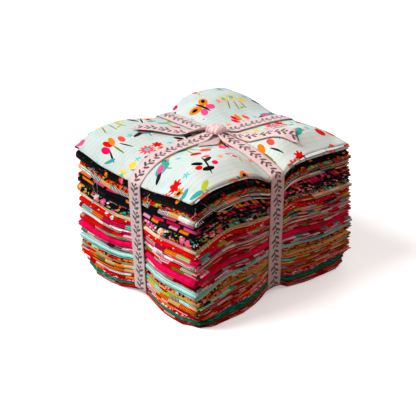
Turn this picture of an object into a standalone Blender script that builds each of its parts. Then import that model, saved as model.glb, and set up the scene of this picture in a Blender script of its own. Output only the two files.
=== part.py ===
"""A bundle of 24 folded fat quarters of quilting cotton, tied both ways with one ribbon.

Metres, +Z up. The origin is on the surface that the bundle stands on, under its middle. X runs
along the fold noses of the front (-Y) face, and Y along the cut edges of the side (+X) face.
"""
import math

import bmesh
import bpy
from mathutils import Vector

MM = 0.001

# A fat quarter is cut 457 by 559 mm and folded in thirds both ways
CUT_WIDTH = 457 * MM
CUT_LENGTH = 559 * MM
WIDTH = CUT_WIDTH / 3
DEPTH = CUT_LENGTH / 3

# Heights of the top cloth along each line in X: at the front edge, the ribbon, the back edge
TOP_HEIGHTS = {
    "left edge": (122.3 * MM, 129.8 * MM, 130.8 * MM),
    "ribbon": (111 * MM, 130.2 * MM, 125.7 * MM),
    "right edge": (113.5 * MM, 111.5 * MM, 119.4 * MM),
}

# How late the dome drops towards its front and back edges, its left edge and its right edge
DROP_ALONG = 6.0
DROP_LEFT = 1.4
DROP_RIGHT = 2.1

# The cloth lies flat across this half width under and over each ribbon
RIBBON_BED = 12 * MM

# How each of the four lobes puffs up between the ribbons: side in X, side in Y, rise, where its
# crown lies, share of the rise kept at the front or back, share lost at the cut edge
LOBES = (
    (-1, -1, 5.0 * MM, 1.00, 0.03, 0.00),
    (1, -1, 15.7 * MM, 0.89, 0.29, 0.16),
    (-1, 1, 15.0 * MM, 0.85, 0.36, 0.15),
    (1, 1, 18.0 * MM, 0.75, 0.08, 0.41),
)
LOBE_FULL = 0.75
LOBE_ROUNDING = 2.2
OUTER_HALF = 0.5
CROWN_LIMIT = 2 * MM

# The ribbons lift the underside between the four lobes that it stands on
UNDER_LIFT = 6 * MM
UNDER_FLAT_FROM = 38 * MM

# The pile leans: its top is shifted against its underside by this much in X and in Y
LEAN_X = -1 * MM
LEAN_Y = -4 * MM

# Slip and turn of a quarter fade out towards the ribbons, which draw all edges in to one line
SLIP_FULL = 45 * MM
RIBBON_BITE = 1.2 * MM

# How far the pile swells out between its ribbons, the share of it at the top, and the level in
# the pile below which it is full
BELLY = 3.5 * MM
BELLY_AT_TOP = 0.35
BELLY_FULL_FROM = 0.35

# Grid lines of the draped cloth, the same through the whole pile
X_LINES = (-WIDTH / 2, -45 * MM, -RIBBON_BED, RIBBON_BED, 45 * MM, WIDTH / 2)
Y_LINES = (-DEPTH / 2, -48 * MM, -RIBBON_BED, RIBBON_BED, 48 * MM, DEPTH / 2)
FINE_CELLS = 2

# One folded quarter through its thickness, as shares of its place in the pile
PLY = 0.263
PLY_GAP = 0.06
FOLD_TURNS = (35, 0, -35)
NOSE_TURNS = (-50, 0, 50)
TOP_PLY_SHORT = 0.6 * MM
FLAP_SHORT = 1.2 * MM
TOP_FACE_FROM = 0.75

# Ribbon
RIBBON_WIDTH = 16 * MM
RIBBON_THICK = 1 * MM
RIBBON_GAP = 0.45 * MM
RIBBON_CORNER = 0.6 * MM
CORNER_TURNS = (90, 45, 0)
CROSSING_STEP = 0.15 * MM
KNOT_SIZE = (19 * MM, 15 * MM, 9.5 * MM)
KNOT_TURN = 20
KNOT_SEGMENTS = 12
KNOT_RINGS = 7

# Free ends: name, direction (degrees from +X), length, slant of the cut end
TAILS = (
    ("left", 221, 70 * MM, 5 * MM),
    ("right", 49, 74 * MM, -5 * MM),
)
# Along a free end: share of its length, lift over the cloth, share of its full width
TAIL_STATIONS = (
    (0.00, 5.0 * MM, 0.35),
    (0.12, 4.0 * MM, 0.45),
    (0.25, 2.0 * MM, 0.75),
    (0.40, 1.2 * MM, 1.00),
    (0.55, 1.2 * MM, 1.00),
    (0.70, 1.8 * MM, 1.00),
    (0.85, 3.0 * MM, 1.00),
    (1.00, 2.4 * MM, 1.00),
)

# From the top down: share of the height, slip in X and in Y (mm), turn (degrees), colour
QUARTERS = (
    (0.85, -0.9, -0.2, 0.2, (0.80, 0.86, 0.83)),
    (1.60, -0.8, -0.2, 0.3, (0.02, 0.02, 0.02)),
    (0.95, 0.4, 0.5, 0.1, (0.20, 0.05, 0.05)),
    (0.95, -0.3, 0.4, -0.1, (0.75, 0.60, 0.50)),
    (1.00, 0.4, -0.1, 0.1, (0.75, 0.12, 0.25)),
    (0.95, 0.2, 0.3, -0.1, (0.05, 0.05, 0.06)),
    (1.20, -0.6, -0.4, 0.2, (0.04, 0.08, 0.08)),
    (1.00, 0.5, 0.6, -0.3, (0.85, 0.65, 0.45)),
    (1.10, 0.0, -0.6, 0.1, (0.80, 0.02, 0.02)),
    (1.00, 0.7, 0.2, 0.3, (0.25, 0.60, 0.55)),
    (1.25, -0.5, 0.5, -0.2, (0.80, 0.45, 0.60)),
    (1.20, 0.3, -0.5, 0.2, (0.85, 0.20, 0.25)),
    (1.20, -0.7, -0.8, -0.1, (0.90, 0.02, 0.30)),
    (1.00, 0.6, 0.3, 0.2, (0.85, 0.70, 0.80)),
    (1.00, -0.2, 0.6, -0.2, (0.60, 0.85, 0.78)),
    (0.85, 0.5, -0.3, 0.3, (0.25, 0.08, 0.04)),
    (1.05, -0.4, -0.2, -0.2, (0.80, 0.62, 0.38)),
    (1.00, 0.7, 0.4, 0.2, (0.35, 0.70, 0.65)),
    (0.95, 0.1, -0.6, -0.3, (0.90, 0.35, 0.03)),
    (0.95, -0.6, 0.5, 0.1, (0.85, 0.72, 0.82)),
    (0.80, 0.4, -0.2, 0.3, (0.90, 0.30, 0.15)),
    (0.80, -0.3, 0.6, -0.1, (0.88, 0.62, 0.70)),
    (0.85, 0.6, -0.4, 0.2, (0.05, 0.35, 0.25)),
    (0.80, 0.2, 0.2, -0.2, (0.70, 0.04, 0.04)),
)
SHARE_SUM = sum(row[0] for row in QUARTERS)
CORNER_HEIGHT = 117 * MM
CLOTH_ROUGHNESS = 0.9
RIBBON_COLOUR = (0.80, 0.58, 0.57)


def smooth_step(low, high, value):
    """0 below low, 1 above high and an even rise between them."""
    t = min(max((value - low) / (high - low), 0.0), 1.0)
    return t * t * (3 - 2 * t)


def edge_weights(position, half, drop_low, drop_high):
    """Weights of the low edge, the middle and the high edge: a dome that drops at its edges."""
    reach = min(abs(position) / half, 1.0)
    if position < 0:
        edge = reach ** drop_low
        return edge, 1 - edge, 0.0
    edge = reach ** drop_high
    return 0.0, 1 - edge, edge


def lobe_share(x, y, skew, at_nose, sag):
    """Share of a lobe's rise: none at the ribbons, most between them and the cut edges."""
    across = (abs(x) - RIBBON_BED) / (WIDTH / 2 - RIBBON_BED)
    along = min(max((abs(y) - RIBBON_BED) / (DEPTH / 2 - RIBBON_BED), 0.0), 1.0)
    crown = 1 - abs(2 * along ** skew - 1) ** LOBE_ROUNDING
    nose = at_nose * smooth_step(OUTER_HALF, 1.0, along)
    sagged = 1 - sag * smooth_step(OUTER_HALF, 1.0, across)
    return smooth_step(0.0, LOBE_FULL, across) * sagged * (crown + nose)


def top_height(x, y):
    """Height of the top of the pile: a dome that the ribbons press into four lobes."""
    along = edge_weights(y, DEPTH / 2, DROP_ALONG, DROP_ALONG)
    over = edge_weights(x, WIDTH / 2, DROP_LEFT, DROP_RIGHT)
    height = 0.0
    for column, weight in zip(TOP_HEIGHTS.values(), over):
        height += weight * sum(value * share for value, share in zip(column, along))
    for side_x, side_y, rise, *shape in LOBES:
        if x * side_x > 0 and y * side_y > 0:
            height += rise * lobe_share(x, y, *shape)
    return height


def under_height(x, y):
    """Height of the underside: flat under the four lobes, lifted along both ribbons."""
    free_x = smooth_step(RIBBON_BED, UNDER_FLAT_FROM, abs(x))
    free_y = smooth_step(RIBBON_BED, UNDER_FLAT_FROM, abs(y))
    return UNDER_LIFT * (1 - free_x * free_y)


def cell(lines, value):
    """The grid cell that a position is in, and how far across the cell it is."""
    index = 0
    while index < len(lines) - 2 and value > lines[index + 1]:
        index += 1
    return index, (value - lines[index]) / (lines[index + 1] - lines[index])


def on_facets(surface, x, y):
    """A surface's height at a point, flat on the two triangles of each grid cell."""
    i, u = cell(X_LINES, x)
    j, v = cell(Y_LINES, y)
    near = surface(X_LINES[i], Y_LINES[j])
    far = surface(X_LINES[i + 1], Y_LINES[j + 1])
    if u > v:
        side = surface(X_LINES[i + 1], Y_LINES[j])
        return near + u * (side - near) + v * (far - side)
    side = surface(X_LINES[i], Y_LINES[j + 1])
    return near + v * (side - near) + u * (far - side)


def pile_height(x, y, level):
    """Height in the pile at a level from 0, the underside, to 1, the top."""
    bottom = on_facets(under_height, x, y)
    return bottom + level * (on_facets(top_height, x, y) - bottom)


def crown_height(x, y):
    """Height of the top cloth's upper face, which rounds over the facets below it."""
    facet = pile_height(x, y, 1.0)
    return max(facet, min(top_height(x, y), facet + CROWN_LIMIT))


def drawn_edge(side, half, across, lean, slip, turn, level):
    """Where an edge of a quarter lies: leaning, swelling and slipped, drawn in at the ribbon."""
    free = smooth_step(RIBBON_BED, SLIP_FULL, abs(across))
    swell = BELLY * (1 - (1 - BELLY_AT_TOP) * smooth_step(BELLY_FULL_FROM, 1.0, level))
    slipped = free * (slip * MM + math.radians(turn) * across)
    outward = half - (1 - free) * RIBBON_BITE + free * swell
    return side * outward + lean * (level - 0.5) + slipped


def folded_section(thickness, y_lines):
    """The middle line of one ply from the tucked flap's end, round both folds, to the top's end.

    Each station is (side, y, height, normal_y, normal_z): side -1 or 1 measures y from that edge,
    0 from the middle, height is a share of the thickness, and the last two are the unit normal.
    """
    low = PLY / 2
    flap = low + PLY + PLY_GAP
    top = flap + PLY + PLY_GAP
    inner = y_lines[1:-1]
    fold_radius = (flap - low) / 2
    nose_radius = (top - low) / 2
    fold_reach = (fold_radius + PLY / 2) * thickness
    nose_reach = (nose_radius + PLY / 2) * thickness

    stations = [(-1, nose_reach + FLAP_SHORT, flap, 0, 1)]
    stations += [(0, y, flap, 0, 1) for y in inner]
    stations.append((1, -fold_reach, flap, 0, 1))
    for turn in FOLD_TURNS:
        c, s = math.cos(math.radians(turn)), math.sin(math.radians(turn))
        y = -fold_reach + c * fold_radius * thickness
        stations.append((1, y, low + fold_radius * (1 + s), c, s))
    stations.append((1, -fold_reach, low, 0, -1))
    stations += [(0, y, low, 0, -1) for y in reversed(inner)]
    stations.append((-1, nose_reach, low, 0, -1))
    for turn in NOSE_TURNS:
        c, s = math.cos(math.radians(turn)), math.sin(math.radians(turn))
        y = nose_reach - c * nose_radius * thickness
        stations.append((-1, y, low + nose_radius * (1 + s), -c, s))
    stations.append((-1, nose_reach, top, 0, 1))
    stations += [(0, y, top, 0, 1) for y in inner]
    stations.append((1, -TOP_PLY_SHORT, top, 0, 1))
    return stations


def finer(lines, parts):
    """Grid lines with each cell divided evenly into parts."""
    result = []
    for low, high in zip(lines, lines[1:]):
        result += [low + (high - low) * k / parts for k in range(parts)]
    return tuple(result) + (lines[-1],)


def strip_faces(stations, columns, forward):
    """Triangles of a closed strip: two faces, both long edges and both ends.

    Each station has two points for each column. The diagonals run the same way over the plan
    whichever way the strip travels, so that neighbouring plies nest.
    """
    def point(k, i, face):
        return (k * columns + i) * 2 + face

    def quad(a, b, c, d, turned):
        return [(a, b, d), (b, c, d)] if turned else [(a, b, c), (a, c, d)]

    faces = []
    for k in range(stations - 1):
        turned = not forward[k]
        for i in range(columns - 1):
            for face in (0, 1):
                corners = [point(k, i, face), point(k, i + 1, face), point(k + 1, i + 1, face),
                           point(k + 1, i, face)]
                triangles = quad(*corners, turned)
                faces += triangles if face else [tri[::-1] for tri in triangles]
        last = columns - 1
        faces += quad(point(k, 0, 0), point(k, 0, 1), point(k + 1, 0, 1), point(k + 1, 0, 0), False)
        faces += quad(point(k, last, 1), point(k, last, 0), point(k + 1, last, 0),
                      point(k + 1, last, 1), False)
    end = stations - 1
    for i in range(columns - 1):
        faces += quad(point(0, i, 0), point(0, i + 1, 0), point(0, i + 1, 1), point(0, i, 1), False)
        faces += quad(point(end, i, 1), point(end, i + 1, 1), point(end, i + 1, 0),
                      point(end, i, 0), False)
    return faces


def new_material(name, colour):
    material = bpy.data.materials.new(name)
    material.use_nodes = True
    shader = material.node_tree.nodes["Principled BSDF"]
    shader.inputs["Base Color"].default_value = (*colour, 1)
    shader.inputs["Roughness"].default_value = CLOTH_ROUGHNESS
    shader.inputs["Metallic"].default_value = 0.0
    return material


def new_object(name, points, faces, material=None):
    """A mesh object whose faces all point outwards."""
    mesh = bpy.data.meshes.new(name)
    mesh.from_pydata(points, [], faces)
    work = bmesh.new()
    work.from_mesh(mesh)
    bmesh.ops.recalc_face_normals(work, faces=work.faces)
    work.to_mesh(mesh)
    work.free()
    if material:
        mesh.materials.append(material)
    obj = bpy.data.objects.new(name, mesh)
    bpy.context.scene.collection.objects.link(obj)
    return obj


def folded_quarter(number, low_level, high_level, row):
    """One fat quarter: a single ply folded in three, draped over those below it."""
    share, slip_x, slip_y, turn, colour = row
    is_top = number == 1
    parts = FINE_CELLS if is_top else 1
    x_lines = finer(X_LINES, parts)
    y_lines = finer(Y_LINES, parts)
    middle = (low_level + high_level) / 2
    thickness = share / SHARE_SUM * CORNER_HEIGHT
    stations = folded_section(thickness, y_lines)
    points = []
    centres = []
    for side, offset, height, normal_y, normal_z in stations:
        for i, line in enumerate(x_lines):
            for face in (-1, 1):
                y = offset
                if side:
                    y += drawn_edge(side, DEPTH / 2, line, LEAN_Y, slip_y, turn, middle)
                y += face * normal_y * PLY / 2 * thickness
                x = line
                if i in (0, len(x_lines) - 1):
                    edge = -1 if i == 0 else 1
                    x = drawn_edge(edge, WIDTH / 2, y, LEAN_X, slip_x, -turn, middle)
                within = height + face * normal_z * PLY / 2
                z = pile_height(x, y, low_level + within * (high_level - low_level))
                if is_top and within > TOP_FACE_FROM:
                    z += crown_height(x, y) - pile_height(x, y, 1.0)
                points.append((x, y, z))
        centres.append(y)
    forward = [after >= before for before, after in zip(centres, centres[1:])]
    faces = strip_faces(len(stations), len(x_lines), forward)
    name = f"fat_quarter_{number:02d}"
    return new_object(name, points, faces, new_material(name, colour))


def corner_stations(edge, height, side, up):
    """Ribbon stations round one outer corner of the pile, from its flat face to its side."""
    out = RIBBON_GAP + RIBBON_CORNER
    stations = []
    for turn in CORNER_TURNS:
        c, s = math.cos(math.radians(turn)), math.sin(math.radians(turn))
        along = edge + side * (c * out - RIBBON_CORNER)
        stations.append((along, height - up * out * (1 - s), side * c, up * s))
    return stations


def ribbon_loop(name, along_x, step):
    """A flat ring of ribbon round the pile, along X or along Y, a step outside the other ring."""
    lines, half, lean = Y_LINES, DEPTH / 2, LEAN_Y
    if along_x:
        lines, half, lean = X_LINES, WIDTH / 2, LEAN_X
    lines = finer(lines, FINE_CELLS)[1:-1]
    sides = (-RIBBON_WIDTH / 2, RIBBON_WIDTH / 2)

    def plan(along, across):
        return (along, across) if along_x else (across, along)

    def top(along):
        heights = [crown_height(*plan(along, across)) for across in (*sides, 0.0)]
        return max(heights) + RIBBON_GAP + step

    def under(along):
        heights = [pile_height(*plan(along, across), 0.0) for across in (*sides, 0.0)]
        return min(heights) - RIBBON_GAP - step

    def corner(side, up):
        edge = side * (half - RIBBON_BITE) + up * lean / 2
        surface = top if up > 0 else under
        return corner_stations(edge, surface(edge - side * RIBBON_CORNER), side, up)

    stations = [(line, top(line), 0, 1) for line in lines]
    stations += corner(1, 1) + corner(1, -1)[::-1]
    stations += [(line, under(line), 0, -1) for line in reversed(lines)]
    stations += corner(-1, -1) + corner(-1, 1)[::-1]
    points = []
    for along, z, normal, normal_z in stations:
        for across in sides:
            for rise in (0.0, RIBBON_THICK):
                points.append((*plan(along + normal * rise, across), z + normal_z * rise))
    faces = []
    for k in range(len(stations)):
        here, there = 4 * k, 4 * ((k + 1) % len(stations))
        for a, b in ((0, 1), (1, 3), (3, 2), (2, 0)):
            faces.append((here + a, here + b, there + b, there + a))
    return new_object(name, points, faces)


def ribbon_tail(name, direction, length, slant):
    """A free end of the ribbon: gathered at the knot, then flat over a lobe, cut on the slant."""
    along = Vector((math.cos(math.radians(direction)), math.sin(math.radians(direction)), 0))
    across = Vector((-along.y, along.x, 0))
    points = []
    for share, lift, width in TAIL_STATIONS:
        half = RIBBON_WIDTH / 2 * width
        places = []
        for side in (-1, 0, 1):
            cut = slant * side * share ** 2
            places.append(along * (length * share + cut) + across * half * side)
        z = max(crown_height(place.x, place.y) for place in places) + lift
        for place in (places[0], places[-1]):
            for rise in (0.0, RIBBON_THICK):
                points.append((place.x, place.y, z + rise))
    count = len(TAIL_STATIONS)
    return new_object(name, points, strip_faces(count, 2, [True] * (count - 1)))


def ribbon_knot(name):
    """The flat knot that the two loops and the free ends meet in."""
    mesh = bpy.data.meshes.new(name)
    work = bmesh.new()
    bmesh.ops.create_uvsphere(work, u_segments=KNOT_SEGMENTS, v_segments=KNOT_RINGS, radius=0.5)
    work.to_mesh(mesh)
    work.free()
    obj = bpy.data.objects.new(name, mesh)
    bpy.context.scene.collection.objects.link(obj)
    obj.scale = KNOT_SIZE
    obj.location = (0, 0, crown_height(0, 0) + RIBBON_GAP + KNOT_SIZE[2] / 2)
    obj.rotation_euler = (0, 0, math.radians(KNOT_TURN))
    return obj


def ribbon():
    """One ribbon: two crossing loops, the knot and two free ends, joined in one solid."""
    loop = ribbon_loop("ribbon", False, 0.0)
    loop.data.materials.append(new_material("ribbon", RIBBON_COLOUR))
    helpers = [ribbon_loop("ribbon_cross_loop", True, CROSSING_STEP)]
    helpers += [ribbon_tail(f"ribbon_{name}_end", *sizes) for name, *sizes in TAILS]
    helpers.append(ribbon_knot("ribbon_knot"))
    for helper in helpers:
        helper.hide_render = True
        helper.display_type = "WIRE"
        union = loop.modifiers.new(helper.name, "BOOLEAN")
        union.operation = "UNION"
        union.object = helper
    return loop


def main():
    for obj in list(bpy.data.objects):
        bpy.data.objects.remove(obj, do_unlink=True)
    level = 1.0
    for number, row in enumerate(QUARTERS, start=1):
        low_level = level - row[0] / SHARE_SUM
        folded_quarter(number, low_level, level, row)
        level = low_level
    ribbon()


main()
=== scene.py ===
"""Looks of a bundle of 24 folded fat quarters of quilting cotton, tied both ways with a ribbon.

Metres, +Z up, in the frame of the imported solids. X runs along the fold noses of the front (-Y)
face and Y along the cut edges of the side (+X) face. Each fat quarter is one sheet of its full cut
size, folded in thirds both ways. Its UV map is in metres on the flat cloth: U along its length,
V across its width.
"""
import math
from functools import partialmethod

import bpy
import numpy as np
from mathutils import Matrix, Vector

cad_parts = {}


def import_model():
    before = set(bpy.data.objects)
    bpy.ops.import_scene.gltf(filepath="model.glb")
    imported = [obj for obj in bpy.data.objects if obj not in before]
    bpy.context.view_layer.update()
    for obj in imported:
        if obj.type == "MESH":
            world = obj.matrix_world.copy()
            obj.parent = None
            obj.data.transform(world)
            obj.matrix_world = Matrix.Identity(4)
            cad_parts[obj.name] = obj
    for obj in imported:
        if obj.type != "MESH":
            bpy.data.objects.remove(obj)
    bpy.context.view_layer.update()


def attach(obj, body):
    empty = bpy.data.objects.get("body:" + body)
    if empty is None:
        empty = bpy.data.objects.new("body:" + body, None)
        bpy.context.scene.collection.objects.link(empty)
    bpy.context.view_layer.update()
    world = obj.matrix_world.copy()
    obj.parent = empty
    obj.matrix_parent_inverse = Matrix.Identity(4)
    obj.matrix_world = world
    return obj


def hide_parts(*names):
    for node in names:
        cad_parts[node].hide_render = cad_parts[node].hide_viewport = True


MM = 0.001

# A fat quarter's cut size, and its size folded in thirds both ways
CUT_WIDTH = 457 * MM
CUT_LENGTH = 559 * MM
WIDTH = CUT_WIDTH / 3
DEPTH = CUT_LENGTH / 3
LAYERS = 9
CLOTH_THICK = 0.27 * MM
PLY_FILL = 0.88

# Heights of the top cloth along each line in X: at the front edge, the ribbon, the back edge
TOP_HEIGHTS = (
    (122.3 * MM, 129.8 * MM, 130.8 * MM),
    (111.0 * MM, 130.2 * MM, 125.7 * MM),
    (113.5 * MM, 111.5 * MM, 119.4 * MM),
)
CORNER_HEIGHT = 117 * MM
# How late the dome drops towards its front and back edges, its left edge and its right edge
DROP_FRONT = 6.0
DROP_LEFT = 1.4
DROP_RIGHT = 2.1

# How each of the four lobes puffs up between the ribbons: side in X, side in Y, rise, where its
# crown lies, share of the rise kept at the nose or back fold, share lost at the cut edge
LOBES = (
    (-1, -1, 5.0 * MM, 1.00, 0.03, 0.00),
    (1, -1, 15.7 * MM, 0.89, 0.29, 0.16),
    (-1, 1, 15.0 * MM, 0.85, 0.36, 0.15),
    (1, 1, 18.0 * MM, 0.75, 0.08, 0.41),
)
RIBBON_BED = 11 * MM
LOBE_FULL = 0.75
LOBE_ROUNDING = 2.2
UNDER_LIFT = 6.5 * MM
UNDER_BED = 5 * MM
UNDER_FLAT_FROM = 21 * MM

# How far the lower part of the pile swells out between its ribbons and its corners, how far its
# lowest corners are rounded off, and the length of a corner
BELLY = 3.7 * MM
BELLY_AT_TOP = 0.35
CORNER_ROUND = 6 * MM
CORNER_REACH = 20 * MM
CORNER_LEVEL = 0.16

# Lean of the pile, and how the ribbons draw its edges in
LEAN_X = -1 * MM
LEAN_Y = -4 * MM
SLIP_FULL = 45 * MM
EDGE_FROM_X = 45 * MM
EDGE_FROM_Y = 48 * MM
RIBBON_BITE = 1.2 * MM

# Soft waves in the cut edges of the side face: place in Y, level, spread in Y, in level, rise
WAVES = (
    (-32 * MM, 0.62, 16 * MM, 0.25, -2.4 * MM),
    (22 * MM, 0.60, 15 * MM, 0.24, 2.6 * MM),
    (-62 * MM, 0.45, 18 * MM, 0.25, 1.0 * MM),
    (60 * MM, 0.38, 20 * MM, 0.22, -1.4 * MM),
)
WAVE_DEPTH = 60 * MM

# Folding of one sheet
TOP_PLY_SHORT = 0.8 * MM
FLAP_SHORT = 1.2 * MM
PLY_CELLS_X = 14
PLY_CELLS_Y = 24
TURN_CELLS = 4
BACK_FOLD_CELLS = 8
NOSE_CELLS = 20
EDGE_JITTER = 0.6 * MM
RUN_JITTER = 2.6 * MM
NOSE_JITTER = 0.8 * MM
PLY_SQUEEZE = 0.46
QUARTER_FILL = 0.80
SQUEEZE_FROM = 24 * MM
CROWDING = 0.35
RIDGE_DEPTH = 1.7
NOSE_SHARE_FADES = 45 * MM
# Pitch at which the cut edges, long runs of them, the noses and their ridges wander
EDGE_PITCH = 38 * MM
RUN_PITCH = 2.3 * DEPTH
NOSE_PITCH = 46 * MM
RIDGE_FADES = 60 * MM
# Share of that unevenness left under the ribbon
TIED_LOOSE = 0.15

# Ribbon
RIBBON_WIDTH = 16 * MM
RIBBON_THICK = 0.3 * MM
RIBBON_GAP = 0.4 * MM
RIBBON_STEP = 2 * MM
RIBBON_CELLS = 8
# From this place on, the ribbon's UV shows its plain back face, darker partly as that back face and partly
# as painted shade where the folded bit lies in the knot's shadow
BACK_AND_SHADE_FROM = 1.39

# The two loops: whether it runs along X, its step over the other, drift of its top and of its
# foot, and how round the pile's edge under it is at its low and its high end
LOOPS = (
    (False, 0.0, 1.8 * MM, 1.2 * MM, (2.4 * MM, 1.2 * MM)),
    (True, 0.5 * MM, 2.2 * MM, 0.0, (1.6 * MM, 1.2 * MM)),
)
# Points along a loop's top, round one corner, down a side and along its underside
LOOP_POINTS = (40, 7, 26, 30)
# Near the knot a loop narrows to this share of its width, lifts and gathers into pleats
KNOT_FROM = 4 * MM
KNOT_CLEAR = 22 * MM
GATHER_WIDTH = 0.58
GATHER_PLEAT = 0.7 * MM
GATHER_LIFT = 2.6 * MM

# Free ends and the folded bit under the knot: direction (degrees from +X), length, slant of the
# cut, roll at the knot, how much it waves, share of its width at the knot, lift there and beyond
TAILS = (
    (221, 70 * MM, 5 * MM, 50, 1.2 * MM, 0.46, 3.6 * MM, 0.7 * MM),
    (34, 72 * MM, -3 * MM, -24, 0.0, 0.50, 2.6 * MM, 0.7 * MM),
    (-57, 28 * MM, -5 * MM, 0, 0.0, 0.70, 0.3 * MM, 0.0),
)
TAIL_ROWS = 44
TAIL_OPENS = 32 * MM
TAIL_LIES = 0.72
TAIL_DROOP = 0.2
TAIL_PLEAT = 0.8 * MM
TAIL_CURL = 0.5 * MM
TAIL_UV_FROM = 0.3

KNOT_TURN = 14
KNOT_SIZE = (8.4 * MM, 8.8 * MM, 4.2 * MM)
KNOT_LIFT = 0.6 * MM
KNOT_ROWS = 26
KNOT_ROUND = 40
KNOT_PLEAT = 0.08
KNOT_CREASE = 0.26
KNOT_UV_FROM = 0.9

# Loose threads: places in X, Y, Z (mm) that each one runs through
LOOSE_THREADS = (
    ((-38, -95.5, 103), (-44, -97.5, 100), (-52, -98, 93), (-50, -97.2, 86)),
    ((-52, -96.0, 106), (-47, -97.6, 99), (-46, -97.8, 91), (-49, -96.6, 84)),
    ((24, -95.5, 108), (23, -97.5, 104), (26, -97.8, 98)),
    ((76.5, -84, 113), (78.5, -74, 104), (79.5, -58, 101), (79, -46, 108), (78.2, -38, 113)),
    ((77, -93, 112), (79, -96, 107), (74, -98, 104), (66, -97.5, 106)),
    ((77.2, 62, 50), (79.4, 70, 44), (79.2, 80, 46)),
    ((-20, 93.5, 90), (-24, 95.5, 82), (-34, 95.8, 78)),
)
THREAD = {"Radius": 0.22 * MM}
# Fibres that stand out along the cut edges
FRAY = {"Spacing": 7 * MM, "Length": 2.2 * MM, "Radius": 0.05 * MM, "Seed": 5}
# Loose fibres lie on the table, not in it
FLOOR_CLEAR = 0.3 * MM

# How the cotton and the ribbon shine, and how far the bumps in them stand out
COTTON_SHINE = {
    "Roughness": 0.88, "Specular IOR Level": 0.12, "Sheen Weight": 0.02, "Sheen Roughness": 0.5,
}
COTTON_BUMP = (0.5, 0.3 * MM)
RIBBON_SHINE = {"Roughness": 0.55, "Specular IOR Level": 0.35, "Sheen Weight": 0.25}
RIBBON_BUMP = (0.35, 0.1 * MM)
# Crests for each millimetre of the cotton's weave, and of the ribbon's twill and ribs
WEAVE_CRESTS = 1.6
TWILL_CRESTS = 1.3
RIB_CRESTS = 2.2
# Width of the undyed cores that show at a cut edge (mm), and how much of them shows
WORN_WIDTH = 1.1
WORN_SHARE = 0.03
# The ribbon's bound edges start this far from its middle (mm)
BOUND_FROM = 7.1

# Soft suns: azimuth and elevation they come from, spread (degrees), share of full brightness
SUNS = (
    ("key", -30, 41, 32, 0.88),
    ("back", 200, 30, 50, 0.25),
)
# One soft box beside the right face
BOX_PLACE = (0.31, -0.04, 0.34)
BOX_AIM = (0.05, 0.0, 0.08)
BOX_SIDE = 0.14
BOX_POWER = 0.35
BOX_TINT = (1.0, 0.66, 0.56)
SKY = 0.16
SKY_BELOW = 0.03
HORIZON = 0.1
TABLE_GLOW = 0.34
TABLE_REACH = 4.0

# Camera
CAMERA_TARGET = (-10.1 * MM, 0.0, 55.6 * MM)
CAMERA_AZIMUTH = 47.54
CAMERA_ELEVATION = 24.02
CAMERA_DISTANCE = 0.876
CAMERA_LENS = 82.0

COLOURS = {
    "black": (11, 11, 13),
    "charcoal": (42, 40, 44),
    "grey": (120, 122, 122),
    "white": (240, 240, 236),
    "mint white": (212, 226, 222),
    "pale grey": (188, 202, 200),
    "cream": (248, 222, 178),
    "peach": (246, 176, 122),
    "tan": (226, 176, 108),
    "yellow": (248, 214, 92),
    "orange": (250, 140, 24),
    "coral": (248, 92, 70),
    "red": (228, 8, 8),
    "deep red": (172, 4, 14),
    "hot pink": (246, 10, 96),
    "magenta": (222, 0, 84),
    "rose": (244, 92, 150),
    "pink": (250, 170, 196),
    "pale pink": (246, 214, 224),
    "lavender": (226, 206, 232),
    "teal": (60, 176, 164),
    "aqua": (70, 205, 205),
    "mint": (176, 234, 220),
    "lime": (184, 200, 50),
    "olive": (128, 136, 40),
    "green": (14, 126, 90),
    "brown": (110, 70, 50),
    "ribbon pink": (236, 208, 208),
}

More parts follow.
